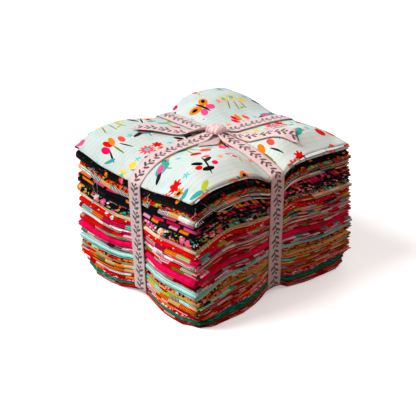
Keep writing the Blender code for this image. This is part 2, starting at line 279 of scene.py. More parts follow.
# From the top down: share of the height at the nose and at the cut sides, slip in X and in Y (mm),
# turn (degrees), ridges along the nose, print, ground, inks, sizes of the print (mm)
QUARTERS = (
    (0.60, 0.85, -0.9, -0.2, 0.2, 2, "posies", "mint white", (), ()),
    (2.25, 1.35, -0.8, -0.6, 0.3, 1, "ditsy", "black", ("rose", "teal", "orange", "red"), (13, 0.13, 0.05)),
    (0.75, 0.75, 0.6, 1.4, 0.1, 2, "ditsy", "black",
     ("red", "orange", "red", "teal", "lime", "red"), (4.2, 0.46, 0.44)),
    (1.30, 1.30, -0.3, 1.1, -0.2, 3, "keys", "white", ("black", "peach", "white", "black", "tan"),
     (13, 1.8)),
    (1.15, 1.25, 0.8, -0.2, 0.2, 2, "dashes", "black", ("hot pink", "rose", "orange", "magenta"),
     (19, 4.4)),
    (1.30, 0.80, 0.2, 0.9, -0.1, 2, "dashes", "black", ("charcoal", "orange", "charcoal", "pink"),
     (12, 3.0)),
    (1.70, 1.15, -0.6, -0.4, 0.2, 3, "ditsy", "black",
     ("rose", "teal", "black", "orange", "lime", "pale pink"), (6.5, 0.42, 0.36)),
    (0.75, 0.70, 0.7, 1.3, -0.3, 2, "blocks", "brown", ("cream", "peach", "cream", "tan", "red"), (30, 11)),
    (1.10, 1.05, 0.0, -0.5, 0.1, 2, "ditsy", "red", ("deep red", "magenta", "deep red", "white"),
     (9, 0.20, 0.16)),
    (1.30, 1.35, 0.9, 0.3, 0.3, 3, "blocks", "charcoal",
     ("teal", "deep red", "orange", "magenta", "hot pink", "lime", "charcoal"), (14, 8.5)),
    (1.00, 1.10, -0.5, 1.2, -0.2, 3, "keys", "white", ("deep red", "white", "magenta", "rose"),
     (12, 1.5)),
    (1.45, 1.15, 0.3, -0.4, 0.2, 3, "blocks", "deep red",
     ("red", "coral", "deep red", "pink", "red", "deep red", "olive", "red"), (13, 9.0)),
    (1.50, 1.25, -0.8, -1.4, -0.1, 2, "tonal", "hot pink", ("magenta",), (7,)),
    (1.00, 1.05, 0.6, 1.0, 0.2, 3, "blocks", "deep red",
     ("red", "white", "deep red", "lavender", "teal", "white", "red", "charcoal"), (9, 7.5)),
    (1.50, 0.55, -0.2, 0.1, -0.2, 4, "lines", "mint", ("white", "teal"), (1.7,)),
    (0.65, 0.60, 0.7, 1.0, 0.3, 2, "ditsy", "black",
     ("orange", "red", "mint", "red", "orange"), (4.6, 0.46, 0.36)),
    (0.45, 1.75, -0.4, 0.8, -0.2, 2, "ditsy", "tan", ("red", "olive", "deep red", "brown"), (7, 0.16, 0.12)),
    (0.93, 0.50, 0.9, -0.4, 0.2, 3, "blocks", "charcoal",
     ("mint", "aqua", "olive", "red", "lime", "charcoal", "orange", "mint"), (11, 7.0)),
    (0.95, 0.85, 0.1, -0.9, -0.3, 3, "keys", "orange", ("deep red", "tan", "red", "cream"), (13, 1.7)),
    (0.70, 0.65, -0.6, 0.8, 0.1, 3, "blocks", "deep red",
     ("pale pink", "red", "white", "deep red", "lavender", "deep red"), (9, 8.0)),
    (0.55, 0.65, 0.4, 0.5, 0.3, 2, "blocks", "deep red", ("orange", "deep red", "red", "orange"), (14, 9.0)),
    (0.55, 0.60, -0.3, 1.2, -0.1, 3, "ditsy", "red", ("pale pink", "white", "magenta", "deep red"),
     (4.5, 0.44, 0.36)),
    (0.62, 1.25, 0.6, -0.3, 0.2, 2, "tonal", "green", ("teal",), (7,)),
    (0.85, 0.95, 0.2, 0.4, -0.2, 2, "blocks", "deep red",
     ("red", "deep red", "red", "deep red", "coral", "deep red"), (14, 9)),
)
NOSE_SUM = sum(row[0] for row in QUARTERS)
SIDE_SUM = sum(row[1] for row in QUARTERS)

# The posies of the top cloth: each is a list of x, y, length, width (mm), turn, ink and, for a
# blossom, its petals
POSIES = (
    (
        (-7, -7, 6, 0.5, 75, "olive"), (0, -8, 6.5, 0.5, 90, "olive"),
        (7, -7, 6, 0.5, 105, "olive"), (4, -10, 2.6, 1.0, 30, "lime"),
        (-8.5, 0, 4.2, 4.2, 10, "yellow", 8), (0, 3, 4.8, 4.8, 0, "yellow", 8),
        (8.5, 0, 4.0, 4.0, 20, "yellow", 8), (-8.5, 0, 1.6, 1.6, 0, "aqua"),
        (0, 3, 1.9, 1.9, 0, "aqua"),
    ),
    (
        (-2, -8, 7.0, 0.7, 80, "charcoal"), (-8, -7, 4.6, 1.7, 140, "charcoal"),
        (6, -8, 5.0, 1.7, 30, "teal"), (-4, 3, 6.6, 6.6, 0, "coral", 10),
        (-4, 3, 4.2, 4.2, 18, "rose", 8), (-4, 3, 2.0, 2.0, 0, "aqua"),
        (6, 5, 4.6, 4.6, 10, "red", 7), (5, -2.5, 3.8, 3.8, 0, "orange", 6),
        (5, -2.5, 1.4, 1.4, 0, "charcoal"),
    ),
    (
        (0, -2, 11, 0.7, 62, "charcoal"), (-4.5, 2.5, 4.2, 2.1, 110, "black"),
        (4.4, 1, 4.2, 2.0, 15, "charcoal"), (-3.4, -7, 4.4, 2.0, 160, "black"),
        (-7.4, -2.0, 2.4, 2.4, 0, "red"), (8.0, 5.8, 2.6, 2.6, 0, "coral"),
        (4.8, -5.4, 2.2, 2.2, 0, "hot pink"),
    ),
    (
        (-4, 3, 2.6, 1.8, 20, "rose"), (2, 4.5, 2.4, 1.7, -25, "rose"),
        (-1, -1.5, 2.6, 1.8, 5, "hot pink"), (5, -1, 2.2, 1.6, 40, "pink"),
        (0, -6, 3.2, 0.9, 60, "lime"),
    ),
    (
        (-6, -6, 6.5, 0.6, 68, "charcoal"), (0, -6, 7, 0.6, 88, "olive"),
        (6, -7, 6, 0.6, 108, "charcoal"), (-9, -8, 4.0, 1.3, 130, "teal"),
        (-5.4, 2, 4.2, 2.2, 98, "hot pink"), (-1.6, 5, 4.6, 2.0, 104, "red"),
        (1.6, 5, 4.6, 2.0, 76, "orange"), (7.8, 1.4, 4.0, 2.2, 86, "coral"),
    ),
    (
        (0, 0, 7.4, 4.2, 14, "teal"), (-7.8, -3.4, 5.0, 1.7, 28, "charcoal"),
        (7.0, 3.6, 2.9, 2.7, 0, "teal"), (10.2, 3.8, 1.7, 0.8, 4, "orange"),
        (-1.2, 0.6, 4.6, 2.2, 24, "rose"), (7.6, 4.1, 0.7, 0.7, 0, "charcoal"),
        (0.4, -6.4, 0.4, 2.8, 0, "charcoal"),
    ),
    (
        (-3.2, 2, 7.5, 0.5, 66, "olive"), (3.4, 2, 7.5, 0.5, 112, "olive"),
        (-6.2, -5.4, 4.4, 4.2, 0, "red"), (6.2, -5.0, 4.4, 4.2, 0, "coral"),
        (-4.0, 9.4, 5.0, 2.0, 158, "teal"), (4.6, 9.2, 5.0, 2.0, 20, "lime"),
    ),
    (
        (-5.4, 3.6, 5.4, 3.8, 140, "orange"), (5.4, 3.6, 5.4, 3.8, 40, "orange"),
        (-4.2, -4.2, 3.9, 2.9, 40, "rose"), (4.2, -4.2, 3.9, 2.9, 140, "rose"),
        (-6.0, 4.0, 2.4, 1.6, 140, "black"), (6.0, 4.0, 2.4, 1.6, 40, "black"),
        (0, 0, 7.4, 1.0, 90, "charcoal"),
    ),
)
POSY_SCALE = 1.15
POSY_CELL = (35.0, 32.0)
POSY_STRAY = 4.0

# A sprig of the ribbon: x, y, length, width (mm) and turn of its stem, leaves and berry
SPRIG = (
    (0, 0, 5.8, 0.55, 10), (-3.4, 2.1, 2.8, 1.15, 60), (-0.6, -2.6, 2.8, 1.15, -52),
    (2.2, 2.9, 2.7, 1.1, 56), (4.1, -1.8, 2.2, 1.0, -40), (5.4, 2.2, 1.1, 1.1, 0),
)
SPRIG_PITCH = 13.0


def smooth_step(low, high, value):
    """0 below low, 1 above high and an even rise between them."""
    t = np.clip((value - low) / (high - low), 0.0, 1.0)
    return t * t * (3 - 2 * t)


def edge_weights(position, half, drop_low, drop_high):
    """Weights of the low edge, the middle and the high edge: a dome that drops at its edges."""
    reach = np.minimum(np.abs(position) / half, 1.0)
    edge = np.where(position < 0, reach ** drop_low, reach ** drop_high)
    low = np.where(position < 0, edge, 0.0)
    return low, 1 - edge, edge - low


def lobe_share(x, y, skew, at_nose, sag):
    """Share of a lobe's rise: none at the ribbons, most between them and the cut edges."""
    across = (np.abs(x) - RIBBON_BED) / (WIDTH / 2 - RIBBON_BED)
    along = np.clip((np.abs(y) - RIBBON_BED) / (DEPTH / 2 - RIBBON_BED), 0.0, 1.0)
    crown = 1 - np.abs(2 * along ** skew - 1) ** LOBE_ROUNDING
    nose = at_nose * smooth_step(0.5, 1.0, along)
    sagged = 1 - sag * smooth_step(0.5, 1.0, across)
    return smooth_step(0.0, LOBE_FULL, across) * sagged * (crown + nose)


def top_height(x, y):
    """Height of the top of the pile: a dome that the ribbons press into four lobes."""
    along = edge_weights(y, DEPTH / 2, DROP_FRONT, DROP_FRONT)
    height = 0.0
    for column, weight in zip(TOP_HEIGHTS, edge_weights(x, WIDTH / 2, DROP_LEFT, DROP_RIGHT)):
        height = height + weight * sum(value * share for value, share in zip(column, along))
    for side_x, side_y, rise, skew, at_nose, sag in LOBES:
        here = (x * side_x > 0) & (y * side_y > 0)
        height = height + np.where(here, rise * lobe_share(x, y, skew, at_nose, sag), 0.0)
    return height


def under_height(x, y):
    """Height of the underside: flat under the four lobes, lifted along both ribbons."""
    free_x = smooth_step(UNDER_BED, UNDER_FLAT_FROM, np.abs(x))
    free_y = smooth_step(UNDER_BED, UNDER_FLAT_FROM, np.abs(y))
    return UNDER_LIFT * (1 - free_x * free_y)


def waves(x, y, level):
    """Soft waves of the layers along the two cut sides."""
    near = smooth_step(WIDTH / 2 - WAVE_DEPTH, WIDTH / 2, np.abs(x))
    rise = 0.0
    for place, middle, spread, depth, height in WAVES:
        bump = np.exp(-((y - place) / spread) ** 2 - ((level - middle) / depth) ** 2)
        rise = rise + height * bump
    return near * rise


def pile_height(x, y, level):
    """Height in the pile at a level from 0, the underside, to 1, the top."""
    bottom = under_height(x, y)
    return bottom + level * (top_height(x, y) - bottom) + waves(x, y, level)


def edge_shift(side, across, lean, slip, turn, level):
    """How far an edge is moved: leaning, swelling and slipped, but drawn in at the ribbon."""
    free = smooth_step(RIBBON_BED, SLIP_FULL, np.abs(across))
    belly = BELLY * (BELLY_AT_TOP + (1 - BELLY_AT_TOP) * smooth_step(1.0, 0.35, level))
    slipped = free * (slip * MM + math.radians(turn) * across + side * belly)
    return lean * (level - 0.5) + slipped - side * (1 - free) * RIBBON_BITE


def corner_pull(x, y, level):
    """How far the lowest sheets are drawn in at their corners."""
    near_x = smooth_step(WIDTH / 2 - CORNER_REACH, WIDTH / 2, np.abs(x))
    near_y = smooth_step(DEPTH / 2 - CORNER_REACH, DEPTH / 2, np.abs(y))
    return CORNER_ROUND * near_x * near_y * smooth_step(CORNER_LEVEL, 0.0, level)


def wander(place, pitch, seed):
    """A smooth random line between -1 and 1 along a place in metres, fixed by its seed."""
    start = np.random.default_rng(seed).uniform(0, math.tau, 4)
    line = 0.0
    for k, phase in enumerate(start):
        line = line + np.sin(place / pitch * math.tau * (0.6 + 0.45 * k) + phase)
    return line / len(start)


def crowded(count):
    """Stations from -1 to 1, closer together at both ends."""
    even = np.linspace(-1, 1, count + 1)
    return (1 - CROWDING) * even + CROWDING * np.sin(even * math.pi / 2)


def distances(*columns):
    """Distance travelled along a line that is given by its coordinates."""
    steps = np.sqrt(sum(np.diff(column) ** 2 for column in columns))
    return np.concatenate([[0.0], np.cumsum(steps)])


def fold_across(layer, cells):
    """The cloth's width folded in three, back and forth.

    Returns each column's place in X, its height from the middle ply in layers, its distance from
    one cut edge, and which ply it is in. A fold counts as half way between two plies.
    """
    reach = WIDTH / 2 - layer / 2
    x, rise, ply = [], [], []
    for number in range(3):
        way = 1 if number % 2 == 0 else -1
        x += list(way * reach * crowded(cells))
        rise += [number - 1.0] * (cells + 1)
        ply += [float(number)] * (cells + 1)
        if number < 2:
            for k in range(1, TURN_CELLS):
                angle = math.pi * k / TURN_CELLS
                x.append(way * (reach + math.sin(angle) * layer / 2))
                rise.append(number - 1 + (1 - math.cos(angle)) / 2)
                ply.append(number + 0.5)
    x, rise, ply = np.array(x), np.array(rise), np.array(ply)
    return x, rise, distances(x, rise * layer), ply


def fold_along(layer, cells, ridges):
    """The strip's length folded in three round both ends: the flap, then under it, then over it.

    Returns each row's place in Y, its height, the way its face looks in Y and in Z, its distance
    along the cloth, and how far the nose's ridges press it in.
    """
    strip = 1.5 * layer
    fold, nose = strip, 2 * strip
    low, flap, top = strip, 3 * strip, 5 * strip
    nose_y = -DEPTH / 2 + nose + strip
    fold_y = DEPTH / 2 - fold - strip
    share = (1 + crowded(cells)) / 2
    rows = []

    def straight(start, end, height, look):
        rows.extend((start + (end - start) * s, height, 0.0, look, 0.0) for s in share)

    straight(nose_y + FLAP_SHORT, fold_y, flap, 1.0)
    for k in range(1, BACK_FOLD_CELLS):
        angle = math.pi * (0.5 - k / BACK_FOLD_CELLS)
        c, s = math.cos(angle), math.sin(angle)
        rows.append((fold_y + fold * c, (low + flap) / 2 + fold * s, c, s, 0.0))
    straight(fold_y, nose_y, low, -1.0)
    for k in range(1, NOSE_CELLS):
        angle = math.pi * (k / NOSE_CELLS - 0.5)
        c, s = math.cos(angle), math.sin(angle)
        place = (s + 1) / 2 * ridges
        pressed = 0.0
        if 0.5 < place < ridges - 0.5:
            pressed = 1 - math.sqrt(1 - (2 * (place % 1) - 1) ** 2)
        rows.append((nose_y - nose * c, (low + top) / 2 + nose * s, -c, s, pressed))
    straight(nose_y, DEPTH / 2 - TOP_PLY_SHORT, top, 1.0)
    y, height, look_y, look_z, pressed = np.array(rows).T
    return y, height, look_y, look_z, distances(y, height), pressed


def strip_faces(rows, columns, start=0, closed=False):
    """Quads of a grid of rows by columns, whose last row can join its first."""
    faces = []
    for j in range(rows if closed else rows - 1):
        here, there = start + j * columns, start + (j + 1) % rows * columns
        faces += [(here + i, here + i + 1, there + i + 1, there + i) for i in range(columns - 1)]
    return faces


def folded_sheet(number, nose_levels, side_levels, row):
    """The places, faces and UV of one fat quarter, folded flat and then laid in the pile."""
    side_share, slip_x, slip_y, turn, ridges = row[1:6]
    finer = 2 if number == 1 else 1
    thickness = side_share / SIDE_SUM * CORNER_HEIGHT
    layer = thickness / LAYERS
    across, rise, v, ply = fold_across(layer, PLY_CELLS_X * finer)
    along, height, look_y, look_z, u, pressed = fold_along(layer, PLY_CELLS_Y * finer, ridges)

    squeeze = 1 - (1 - PLY_SQUEEZE) * smooth_step(0.0, SQUEEZE_FROM, along + DEPTH / 2)
    rise = rise[None, :] * squeeze[:, None] * layer
    x = np.broadcast_to(across, rise.shape).copy()
    y = along[:, None] + rise * look_y[:, None]
    h = height[:, None] + rise * look_z[:, None]
    ridge_depth = RIDGE_DEPTH * thickness / 2 / max(ridges, 1)
    fade = 0.75 + 0.25 * wander(x, RIDGE_FADES, 100 + number)
    y = y + pressed[:, None] * ridge_depth * fade

    from_nose = smooth_step(0.0, NOSE_SHARE_FADES, y + DEPTH / 2)
    low, high = (nose + from_nose * (side - nose) for nose, side in zip(nose_levels, side_levels))
    middle = (low + high) / 2
    fill = QUARTER_FILL if number < len(QUARTERS) else 1.0
    level = middle + (h / thickness - 0.5) * (high - low) * fill
    weight_x = np.clip((np.abs(x) - EDGE_FROM_X) / (WIDTH / 2 - EDGE_FROM_X), 0, 1)
    weight_y = np.clip((np.abs(y) - EDGE_FROM_Y) / (DEPTH / 2 - EDGE_FROM_Y), 0, 1)
    shift_x = edge_shift(np.sign(x), y, LEAN_X, slip_x, -turn, middle)
    shift_y = edge_shift(np.sign(y), x, LEAN_Y, slip_y, turn, middle)
    uneven = np.zeros_like(x)
    for edge, side in enumerate((-1, 1, -1, 1)):
        here = (ply >= edge - 1) & (ply <= edge) & (np.sign(across) == side)
        line = EDGE_JITTER * wander(u, EDGE_PITCH, 1000 * edge + number)
        line = line + RUN_JITTER * wander(u, RUN_PITCH, 2000 * edge + number)
        uneven[:, here] = line[:, None]
    pull = corner_pull(x, y, middle)
    loose = TIED_LOOSE + (1 - TIED_LOOSE) * smooth_step(RIBBON_BED, SLIP_FULL, np.abs(y))
    x_new = x + weight_x * (shift_x + uneven * loose) - np.sign(x) * pull
    free = smooth_step(RIBBON_BED, SLIP_FULL, np.abs(x))
    bulge = NOSE_JITTER * wander(x, NOSE_PITCH, 500 + number) * free
    y_new = y + weight_y * (shift_y + bulge) - np.sign(y) * pull
    places = np.stack([x_new, y_new, pile_height(x_new, y_new, level)], axis=-1)
    flat = np.stack(np.meshgrid(v, u)[::-1], axis=-1).reshape(-1, 2)
    return places, strip_faces(len(along), len(across)), flat


def linked(name, data):
    """An object that shows some data, in the scene."""
    obj = bpy.data.objects.new(name, data)
    bpy.context.scene.collection.objects.link(obj)
    return obj


def new_object(name, points, faces, flat, material):
    """A smooth mesh object at the origin, with its UV map in metres."""
    mesh = bpy.data.meshes.new(name)
    mesh.from_pydata([tuple(map(float, point)) for point in points], [], faces)
    if flat is not None:
        layer = mesh.uv_layers.new(name="UVMap")
        corners = np.zeros(len(mesh.loops), np.int32)
        mesh.loops.foreach_get("vertex_index", corners)
        layer.data.foreach_set("uv", np.asarray(flat, np.float32)[corners].ravel())
    mesh.polygons.foreach_set("use_smooth", [True] * len(mesh.polygons))
    mesh.materials.append(material)
    return linked(name, mesh)


def thicken(obj, thickness):
    """Gives a sheet its thickness, half to each side."""
    solid = obj.modifiers.new("Thickness", "SOLIDIFY")
    solid.thickness = thickness
    solid.offset = 0.0
    solid.use_rim = True
    return obj


def tint(name):
    """A named colour as linear red, green and blue."""
    return tuple(
        (value / 255 / 12.92) if value <= 10 else ((value / 255 + 0.055) / 1.055) ** 2.4
        for value in COLOURS[name]
    )


class Value:
    """What a node puts out, to reckon with."""

    def __init__(self, owner, socket):
        self.owner = owner
        self.socket = socket

    def math(self, operation, *others):
        return self.owner.math(operation, self, *others)

    def __rsub__(self, other):
        return self.owner.math("SUBTRACT", other, self)

    __add__ = partialmethod(math, "ADD")
    __sub__ = partialmethod(math, "SUBTRACT")
    __mul__ = partialmethod(math, "MULTIPLY")
    __truediv__ = partialmethod(math, "DIVIDE")
    __gt__ = partialmethod(math, "GREATER_THAN")
    __lt__ = partialmethod(math, "LESS_THAN")
    __abs__ = partialmethod(math, "ABSOLUTE")


class Nodes:
    """A node tree that is being built."""

    def __init__(self, tree, family):
        self.tree = tree
        self.family = family

    def put(self, socket, value):
        """Sets a socket to a number or colour, or links it."""
        if isinstance(value, Value):
            self.tree.links.new(value.socket, socket)
        elif isinstance(value, tuple) and socket.type == "RGBA":
            socket.default_value = (*value, 1.0)
        else:
            socket.default_value = value

    def node(self, kind, values=(), out=0, family=None, **settings):
        """A new node's output or outputs, with its inputs given in order or by their names."""
        node = self.tree.nodes.new((family or self.family) + kind)
        for name, setting in settings.items():
            setattr(node, name, setting)
        for key, value in values.items() if isinstance(values, dict) else enumerate(values):
            self.put(node.inputs[key], value)
        if isinstance(out, tuple):
            return [Value(self, node.outputs[key]) for key in out]
        return Value(self, node.outputs[out])

    def math(self, operation, *values):
        return self.node("Math", values, family="ShaderNode", operation=operation)


class Recipe(Nodes):
    """The nodes of one material. A print reads its place on the flat cloth in millimetres."""

    def __init__(self, name):
        self.material = bpy.data.materials.new(name)
        self.material.use_nodes = True
        super().__init__(self.material.node_tree, "ShaderNode")

    def finish(self, values, height=None, strength=0.0, depth=0.0):
        """Sets the shader's own values, and its bump where a height is given."""
        if height is not None:
            bump = {"Strength": strength, "Distance": depth, "Height": height}
            values["Normal"] = self.node("Bump", bump)
        for name, value in values.items():
            self.put(self.tree.nodes["Principled BSDF"].inputs[name], value)
        return self.material

    def place(self):
        """Place on the flat cloth in millimetres: along its length, across its width."""
        uv = self.node("UVMap", uv_map="UVMap")
        return [part * 1000 for part in self.node("SeparateXYZ", (uv,), (0, 1))]

    def combine(self, x, y, z=0.0):
        return self.node("CombineXYZ", (x, y, z))

    def noise(self, vector, scale, detail=2.0):
        return self.node("TexNoise", {"Vector": vector, "Scale": scale, "Detail": detail}, "Fac")

    def wave(self, place, crests):
        """An even wave along a place, with so many crests a millimetre."""
        return (place * (math.tau * crests)).math("SINE")

    def mix(self, share, below, above):
        """One colour laid over another."""
        return self.node("Mix", {0: share, 6: below, 7: above}, 2, data_type="RGBA")

    def shaded(self, colour, shade):
        return self.node("VectorMath", {0: colour, "Scale": shade}, operation="SCALE")

    def pick(self, value, colours):
        """One of several colours, by a value from 0 to 1."""
        node = self.tree.nodes.new("ShaderNodeValToRGB")
        ramp = node.color_ramp
        ramp.interpolation = "CONSTANT"
        while len(ramp.elements) < len(colours):
            ramp.elements.new(0.5)
        for k, colour in enumerate(colours):
            ramp.elements[k].position = k / len(colours)
            ramp.elements[k].color = (*colour, 1.0)
        self.put(node.inputs[0], value)
        return Value(self, node.outputs[0])

    def cells(self, a, b, length, height, seed, brick=0.37):
        """Rows of cells: place in the cell from -0.5 to 0.5 both ways, its chances and its spot."""
        high = b / height
        row = high.math("FLOOR")
        far = a / length + row * brick
        column = far.math("FLOOR")
        spot = {"Vector": self.combine(column, row, seed)}
        chance = self.node("TexWhiteNoise", spot, "Color", noise_dimensions="3D")
        chances = self.node("SeparateColor", (chance,), (0, 1, 2))
        return far - column - 0.5, high - row - 0.5, chances, (column, row)

    def spots(self, vector, scale):
        """Scattered spots: the distance to the nearest one, and its chances."""
        far, chance = self.node("TexVoronoi", {"Vector": vector, "Scale": scale},
                                ("Distance", "Color"), voronoi_dimensions="2D")
        return far, self.node("SeparateColor", (chance,), (0, 1))

    def blob(self, vector, x, y, length, width, turn=0.0, petals=0, depth=0.4):
        """1 inside an ellipse, or inside a blossom of some petals, and 0 outside."""
        inside = self.node("Mapping", {
            "Vector": vector, "Location": (x, y, 0.0), "Rotation": (0.0, 0.0, math.radians(turn)),
            "Scale": (length, width, 1.0),
        }, vector_type="TEXTURE")
        limit = 1.0
        if petals:
            across, up = self.node("SeparateXYZ", (inside,), (0, 1))
            wave = (up.math("ARCTAN2", across) * petals).math("COSINE")
            limit = wave.math("MULTIPLY_ADD", depth / 2, 1 - depth / 2)
        return self.node("VectorMath", (inside,), "Value", operation="LENGTH") < limit


def ticks(u, v, pitch, chance):
    """Fine bars across a patch: along the cloth's length in half of the patches, else across it."""
    place = (chance > 0.5).math("MULTIPLY_ADD", u - v, v)
    return (place / pitch).math("FRACT") > 0.5


def print_tonal(recipe, u, v, seed, ground, inks, sizes):
    """Soft clouds of a second tone."""
    clouds = recipe.noise(recipe.combine(u, v, seed), 1 / sizes[0], 3.0)
    return recipe.mix((clouds > 0.56) * 0.8, ground, inks[0])


def print_lines(recipe, u, v, seed, ground, inks, sizes):
    """Lines that run along the fold nose, a little unsteady."""
    sway = recipe.noise(recipe.combine(u, v, seed), 0.05)
    share = (u / sizes[0] + sway).math("FRACT")
    return recipe.pick(share, (ground, ground, inks[0], ground, inks[-1]))


def print_blocks(recipe, u, v, seed, ground, inks, sizes):
    """Rows of long patches in all the inks, some of them finely barred, under thin black lines of painted
    shade.
    """
    chance = recipe.cells(v, u, *sizes, seed)[2]
    bars = ticks(u, v, 1.5, chance[2])
    colour = recipe.pick(chance[0], inks)
    colour = recipe.mix(bars * (chance[1] > 0.66) * 0.65, colour, tint("white"))
    colour = recipe.mix(bars * (chance[1] < 0.34) * 0.6, colour, ground)
    # Thin black lines every 2.9 mm along the cloth: painted shade, standing in for the dark gaps between the
    # plies of a nose
    fine = (u / 2.9).math("FRACT") < 0.16
    return recipe.mix(fine * 0.55, colour, tint("black"))


def print_dashes(recipe, u, v, seed, ground, inks, sizes):
    """Long dashes with fine lines in them, on a plain ground."""
    in_a, in_b, chance, _ = recipe.cells(v, u, *sizes, seed)
    dash = (abs(in_a) < 0.40) * (abs(in_b) < 0.38)
    line = (u / 1.1).math("FRACT") < 0.3
    colour = recipe.mix(line * 0.35, recipe.pick(chance[0], inks), ground)
    return recipe.mix(dash * (chance[1] > 0.30), ground, colour)


def print_keys(recipe, u, v, seed, ground, inks, sizes):
    """Fine bars across the nose, in patches, between patches of plain colour."""
    patch, pitch = sizes
    chance = recipe.cells(v, u, patch, patch * 1.1, seed)[2]
    barred = recipe.mix(ticks(u, v, pitch, chance[2]), ground, inks[0])
    plain = recipe.pick(chance[1], inks[1:] + (ground,))
    return recipe.mix(chance[0] > 0.62, barred, plain)


def print_ditsy(recipe, u, v, seed, ground, inks, sizes):
    """Scattered blossoms with hearts, and slim leaves between them."""
    spacing, blossom, leaf = sizes
    far, chance = recipe.spots(recipe.combine(v, u + seed * 9), 1 / spacing)
    slim = recipe.node("Mapping", {
        "Vector": recipe.combine(v, u + seed * 5), "Rotation": (0.0, 0.0, 0.5),
        "Scale": (1.0, 2.6, 1.0),
    })
    leaf_far, leaf_chance = recipe.spots(slim, 1.5 / spacing)
    result = recipe.mix(leaf_far < leaf, ground, recipe.pick(leaf_chance[0], inks[::-1]))
    result = recipe.mix(far < blossom, result, recipe.pick(chance[0], inks))
    return recipe.mix(far < blossom * 0.3, result, recipe.pick(chance[1], inks[1:] + (ground,)))


def print_posies(recipe, u, v, seed, ground, inks, sizes):
    """Sparse posies and small stars over faint stripes."""
    stripe = abs((v / 4.2).math("FRACT") - 0.5) < 0.13
    result = recipe.mix(stripe * 0.30, ground, tint("pale grey"))
    down = v * -1.0
    length, height = POSY_CELL
    in_a, in_b, chance, (column, row) = recipe.cells(u, down, length, height, seed, 0.5)
    a = (chance[1] - 0.5).math("MULTIPLY_ADD", POSY_STRAY, in_a * length)
    b = (chance[2] - 0.5).math("MULTIPLY_ADD", POSY_STRAY, in_b * height)
    turned = recipe.node("VectorRotate", {
        "Vector": recipe.combine(a, b), "Angle": (chance[2] - 0.5) * 0.7,
    }, rotation_type="Z_AXIS")
    order = row.math("MULTIPLY_ADD", 3.0, column).math("FLOORED_MODULO", float(len(POSIES)))
    for k, posy in enumerate(POSIES):
        kind = order.math("COMPARE", float(k), 0.4)
        for part in posy:
            place, (turn, ink, *petals) = part[:4], part[4:]
            blob = recipe.blob(turned, *(value * POSY_SCALE for value in place), turn, *petals)
            result = recipe.mix(blob * kind, result, tint(ink))
    in_a, in_b, chance, _ = recipe.cells(u + length / 2, down, length, height, seed + 7, 0.5)
    star = recipe.combine(in_a * length, in_b * height)
    blob = recipe.blob(star, 0, 0, 3.2, 3.2, 20, 5, 0.85)
    return recipe.mix(blob, result, recipe.pick(chance[0], (tint("aqua"), tint("aqua"), tint("orange"))))


PRINTS = {
    "tonal": print_tonal,
    "lines": print_lines,
    "blocks": print_blocks,
    "dashes": print_dashes,
    "keys": print_keys,
    "ditsy": print_ditsy,
    "posies": print_posies,
}


def cotton(number, row):
    """Printed quilting cotton: plain weave, soft creases, and pale fibres at the cut edges."""
    kind, ground, inks, sizes = row[6:]
    recipe = Recipe(f"cotton_{number:02d}")
    u, v = recipe.place()
    seed = number * 3.7
    colour = PRINTS[kind](recipe, u, v, seed, tint(ground), tuple(map(tint, inks)), sizes)

    # Uneven dye, and warp and weft that cross three times a millimetre
    cloud = recipe.noise(recipe.combine(u, v, seed), 0.09, 4.0)
    weave = recipe.wave(u, WEAVE_CRESTS) * recipe.wave(v, WEAVE_CRESTS)
    shade = weave.math("MULTIPLY_ADD", 0.05, cloud.math("MULTIPLY_ADD", 0.30, 0.84))

    # The cut edges show their undyed cores
    edge_u = u.math("MINIMUM", CUT_LENGTH / MM - 3 - u)
    edge_v = v.math("MINIMUM", CUT_WIDTH / MM - v)
    fuzz = recipe.noise(recipe.combine(u, v, 4.0), 1.8)
    near = edge_u.math("MINIMUM", edge_v) < fuzz * WORN_WIDTH
    worn = recipe.mix(near * WORN_SHARE, recipe.shaded(colour, shade), tint("white"))

    creases = recipe.noise(recipe.combine(u, v, seed + 1), 0.03, 3.0)
    height = creases.math("MULTIPLY_ADD", 6.0, weave * 0.10)
    return recipe.finish({"Base Color": worn, **COTTON_SHINE}, height, *COTTON_BUMP)


def ribbon_finish():
    """Pale pink woven ribbon with bound edges, one row of small charcoal sprigs, and a plain stretch
    darkened partly as its back face and partly as painted shade.
    """
    recipe = Recipe("ribbon_weave")
    u, v = recipe.place()
    aside = v - RIBBON_WIDTH / MM / 2
    vector = recipe.combine(((u / SPRIG_PITCH).math("FRACT") - 0.5) * SPRIG_PITCH, aside)
    ink = 0.0
    for part in SPRIG:
        ink = recipe.blob(vector, *part).math("MAXIMUM", ink)
    twill = recipe.wave(u + v, TWILL_CRESTS)
    ribs = recipe.wave(u, RIB_CRESTS)
    edge = abs(aside) > BOUND_FROM
    # Darker from a set place in UV on: partly the ribbon's plain back face, partly painted shade for the
    # folded bit in the knot's shadow
    back_and_shade = u > BACK_AND_SHADE_FROM / MM
    shade = recipe.noise(recipe.combine(u, v), 0.12, 3.0).math("MULTIPLY_ADD", 0.18, 0.90)
    for mark, depth in ((twill, 0.025), (edge, -0.10), (back_and_shade, -0.22)):
        shade = mark.math("MULTIPLY_ADD", depth, shade)
    printed = recipe.mix(ink * 0.92, recipe.shaded(tint("ribbon pink"), shade), tint("charcoal"))
    height = edge.math("MULTIPLY_ADD", 1.2, twill + ribs * 0.5)
    return recipe.finish({"Base Color": printed, **RIBBON_SHINE}, height, *RIBBON_BUMP)


def flecked(name, scale, first, second, values):
    """A plain material whose colour is flecked between two colours."""
    recipe = Recipe(name)
    fleck = recipe.noise(recipe.node("TexCoord", out="Object"), scale)
    return recipe.finish({"Base Color": recipe.mix(fleck, first, second), "Roughness": 0.9, **values})


def resampled(line, step):
    """A closed line's points at an even spacing."""
    closed = np.vstack([line, line[:1]])
    far = distances(*closed.T)
    count = int(round(far[-1] / step))
    marks = np.linspace(0, far[-1], count, endpoint=False)
    return np.stack([np.interp(marks, far, column) for column in closed.T], axis=-1)


def top_at(x, y):
    """Height of the top of the pile at one point."""
    return float(top_height(np.asarray(x), np.asarray(y)))


